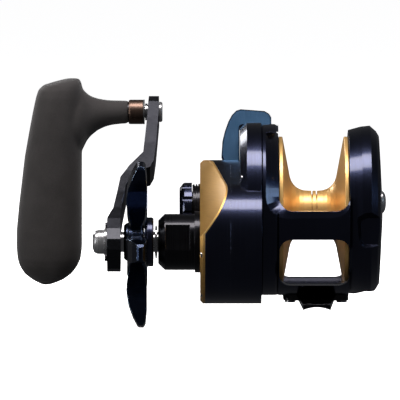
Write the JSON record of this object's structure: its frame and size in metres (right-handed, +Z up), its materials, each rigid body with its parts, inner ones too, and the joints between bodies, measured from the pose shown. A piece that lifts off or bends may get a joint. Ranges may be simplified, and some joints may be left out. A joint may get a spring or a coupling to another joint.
{
  "type": "trolling reel",
  "caption": "Narrow-spool star-drag trolling reel with one-piece open frame, geared hand crank, L-shaped grip, thumb clutch lever and rod foot.",
  "frame": {"origin": "centre of the reel foot's saddle, on the crown of its arc, where it rests on the rod", "axes": "+X along the spool axis away from the handle side, +Y along the rod towards its butt (back of the reel), +Z up from the rod through the spool axis"},
  "size_m": [0.1485, 0.1004, 0.0957],
  "materials": {
    "navy_metal": "deep navy anodised, satin brushed",
    "gold_metal": "gold anodised, satin",
    "black_metal": "black anodised, semi gloss",
    "lever_blue": "satin blue anodised",
    "copper_metal": "copper brown anodised",
    "steel": "turned stainless steel",
    "black_steel": "blackened steel",
    "chrome": "polished",
    "brass": "machined",
    "rubber": "matt",
    "plastic": "moulded, matt",
    "carbon": "woven carbon drag material, dry",
    "foam": "matt charcoal EVA foam"
  },
  "bodies": {
    "reel_body": {"frame": "navy_metal", "gear_side_plate": "navy_metal", "gear_cover": "navy_metal", "cover_plate": "gold_metal", "cover_screws": "steel", "side_plate_screws": "steel", "reel_foot": "black_metal", "foot_screws": "steel", "spool_bearing_left": "steel", "spool_bearing_right": "steel", "pinion_bearing": "steel", "drive_shaft_bearing": "steel", "brake_boss": "black_metal", "drive_housing": "black_metal", "housing_seal": "rubber", "roller_clutch_ring": "steel", "roller_cage": "plastic", "clutch_rollers": "steel", "yoke_guides": "steel", "yoke_springs": "steel", "pawl_pin": "steel"},
    "brake": {"brake_knob": "navy_metal", "brake_pad": "plastic"},
    "spool_unit": {"spool": "gold_metal", "spool_shaft": "steel", "cross_pin": "steel", "click_gear": "plastic"},
    "crank": {"main_gear": "brass", "drive_shaft": "steel", "drag_washer_inner": "carbon", "drag_plate_inner": "steel", "drag_washer_outer": "carbon", "drag_plate_outer": "steel", "ratchet_wheel": "steel", "ratchet_spacer": "steel", "roller_sleeve": "steel", "drag_spring_washers": "steel", "handle_arm": "black_metal", "arm_screws": "black_steel", "handle_nut": "chrome", "handle_washer": "chrome", "knob_spindle": "steel", "spindle_nut": "chrome", "knob_screw": "steel"},
    "sleeve": {"drag_sleeve": "navy_metal"},
    "star": {"star_drag": "navy_metal"},
    "handle_knob": {"knob_collar": "copper_metal", "knob_flange": "plastic", "knob_bushes": "plastic", "knob_core": "black_metal", "knob_grip": "foam"},
    "lever": {"clutch_lever": "lever_blue"},
    "yoke": {"clutch_yoke": "brass"},
    "pinion_unit": {"pinion": "brass"},
    "pawl": {"anti_reverse_pawl": "steel"},
    "clicker": {"click_button": "chrome", "click_pawl": "plastic"}
  },
  "joints": [
    {"name": "handle_turn", "type": "hinge", "parent": "reel_body", "child": "crank", "pos_m": [-0.055, -0.0216, 0.02524], "axis": [1, 0, 0], "continuous": true},
    {"name": "spool_turn", "type": "hinge", "parent": "reel_body", "child": "spool_unit", "pos_m": [0, 0, 0.0357], "axis": [1, 0, 0], "continuous": true},
    {"name": "knob_turn", "type": "hinge", "parent": "crank", "child": "handle_knob", "pos_m": [-0.09, 0.0322, 0.07368], "axis": [1, 0, 0], "continuous": true},
    {"name": "star_turn", "type": "hinge", "parent": "sleeve", "child": "star", "pos_m": [-0.0725, -0.0216, 0.02524], "axis": [1, 0, 0], "range_deg": [-180, 45]},
    {"name": "sleeve_slide", "type": "slide", "parent": "crank", "child": "sleeve", "axis": [1, 0, 0], "range_m": [-0.0004, 0.0001]},
    {"name": "lever_press", "type": "hinge", "parent": "reel_body", "child": "lever", "pos_m": [-0.0295, 0, 0.0357], "axis": [-1, 0, 0], "range_deg": [0, 30]},
    {"name": "yoke_slide", "type": "slide", "parent": "reel_body", "child": "yoke", "axis": [-1, 0, 0], "range_m": [0, 0.0018], "deforming": ["yoke_springs"]},
    {"name": "pinion_turn", "type": "hinge", "parent": "yoke", "child": "pinion_unit", "pos_m": [-0.036, 0, 0.0357], "axis": [1, 0, 0], "continuous": true},
    {"name": "brake_turn", "type": "hinge", "parent": "reel_body", "child": "brake", "pos_m": [-0.052, 0, 0.0357], "axis": [1, 0, 0], "range_deg": [-180, 180]},
    {"name": "pawl_tip", "type": "hinge", "parent": "reel_body", "child": "pawl", "pos_m": [-0.0348, -0.03093, 0.0159], "axis": [1, 0, 0], "range_deg": [0, 6]},
    {"name": "click_slide", "type": "slide", "parent": "reel_body", "child": "clicker", "axis": [0, 1, 0], "range_m": [0, 0.0025]}
  ],
  "couplings": [
    {"joint": "spool_turn", "follows": "handle_turn", "ratio": -6.2727},
    {"joint": "pinion_turn", "follows": "handle_turn", "ratio": -6.2727},
    {"joint": "sleeve_slide", "follows": "star_turn", "m_per_rad": 0.00011937},
    {"joint": "yoke_slide", "follows": "lever_press", "m_per_rad": 0.0034377}
  ]
}
